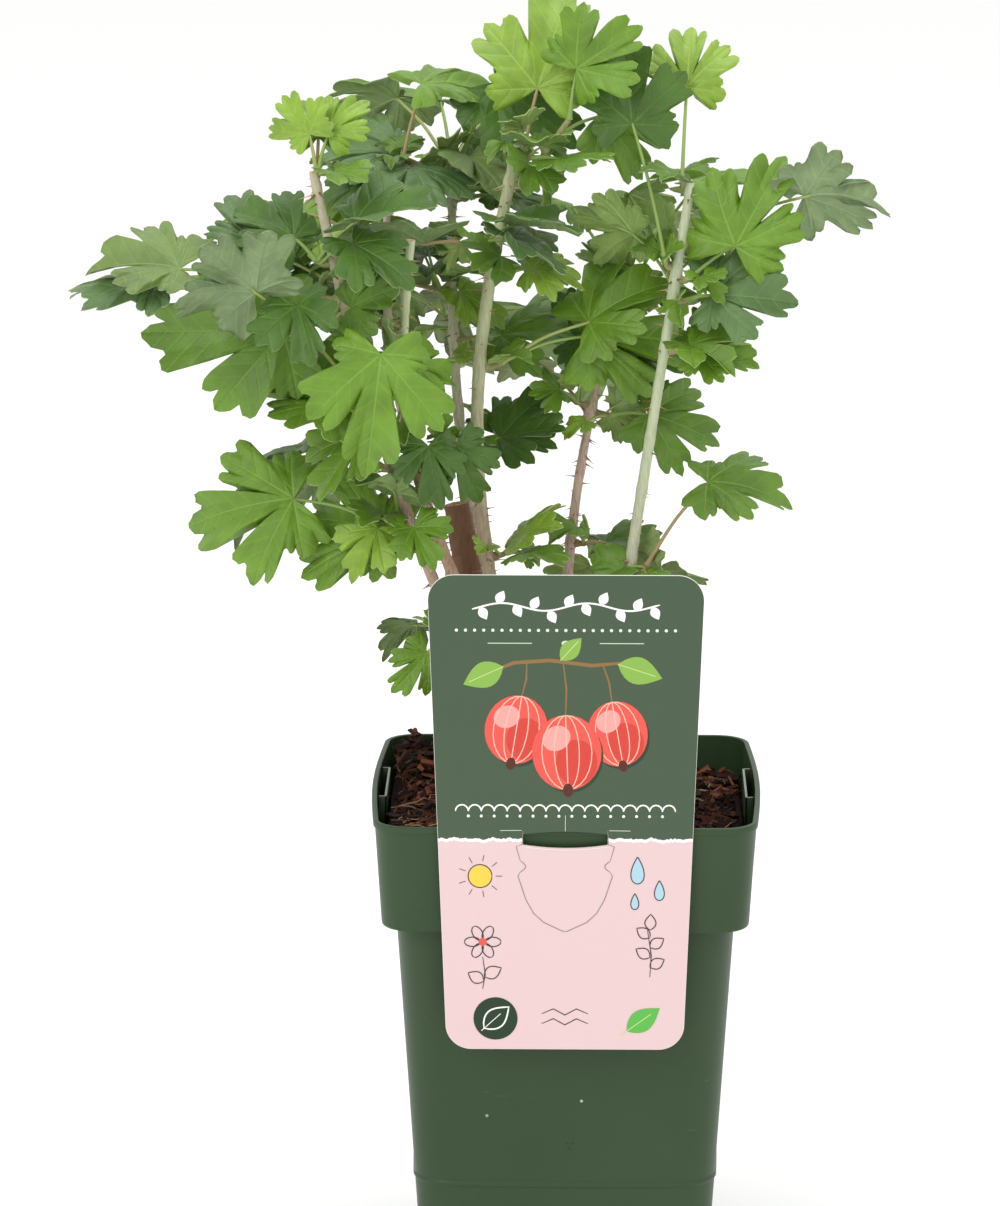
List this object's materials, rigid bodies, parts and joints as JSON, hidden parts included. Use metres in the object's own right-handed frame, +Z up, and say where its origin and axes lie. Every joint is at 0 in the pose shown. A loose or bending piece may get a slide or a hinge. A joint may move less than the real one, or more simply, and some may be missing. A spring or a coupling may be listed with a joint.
{
  "type": "potted gooseberry bush",
  "caption": "Young gooseberry bush with upright canes and lobed leaves, growing in a tapering square plastic pot with a stepped collar and a hanging printed card.",
  "frame": {"origin": "centre of the pot's flat underside, on the surface the pot stands on", "axes": "+Z up along the pot's height, -Y towards the side with the card, +X to the right seen from that side"},
  "size_m": [0.3193, 0.2115, 0.5136],
  "materials": {
    "pot_plastic": "moulded, satin",
    "growing_medium": "loose bark and peat",
    "card": "printed, satin",
    "bark": "rough bark",
    "foliage": "leaf, semi-gloss"
  },
  "bodies": {
    "root": {"cane_back": "bark", "cane_centre": "bark", "cane_left": "bark", "cane_left_back": "bark", "cane_left_middle": "bark", "cane_right": "bark", "cane_right_middle": "bark", "growing_medium": "growing_medium", "leaves_back_a": "foliage", "leaves_back_b": "foliage", "leaves_back_c": "foliage", "leaves_back_d": "foliage", "leaves_back_left_a": "foliage", "leaves_back_left_b": "foliage", "leaves_back_left_c": "foliage", "leaves_back_left_top": "foliage", "leaves_back_right_a": "foliage", "leaves_back_right_b": "foliage", "leaves_back_right_c": "foliage", "leaves_back_right_d": "foliage", "leaves_back_right_e": "foliage", "leaves_back_strip": "foliage", "leaves_back_top": "foliage", "leaves_centre_foot": "foliage", "leaves_centre_long": "foliage", "leaves_centre_low": "foliage", "leaves_centre_right": "foliage", "leaves_centre_shoot": "foliage", "leaves_centre_small": "foliage", "leaves_centre_strip": "foliage", "leaves_centre_top": "foliage", "leaves_centre_west": "foliage", "leaves_left_back_top": "foliage", "leaves_left_big": "foliage", "leaves_left_far": "foliage", "leaves_left_foot": "foliage", "leaves_left_low": "foliage", "leaves_left_pale": "foliage", "leaves_left_strip": "foliage", "leaves_left_top": "foliage", "leaves_left_upper": "foliage", "leaves_low": "foliage", "leaves_middle_dark": "foliage", "leaves_middle_droop": "foliage", "leaves_middle_low": "foliage", "leaves_middle_right_dark": "foliage", "leaves_middle_right_small": "foliage", "leaves_right_droop": "foliage", "leaves_right_far": "foliage", "leaves_right_foot": "foliage", "leaves_right_glossy": "foliage", "leaves_right_level": "foliage", "leaves_right_low": "foliage", "leaves_right_pale": "foliage", "leaves_right_palmate": "foliage", "leaves_right_tip": "foliage", "leaves_right_top": "foliage", "main_stem": "bark", "plant_card": "card", "pot": "pot_plastic"}
  },
  "joints": []
}
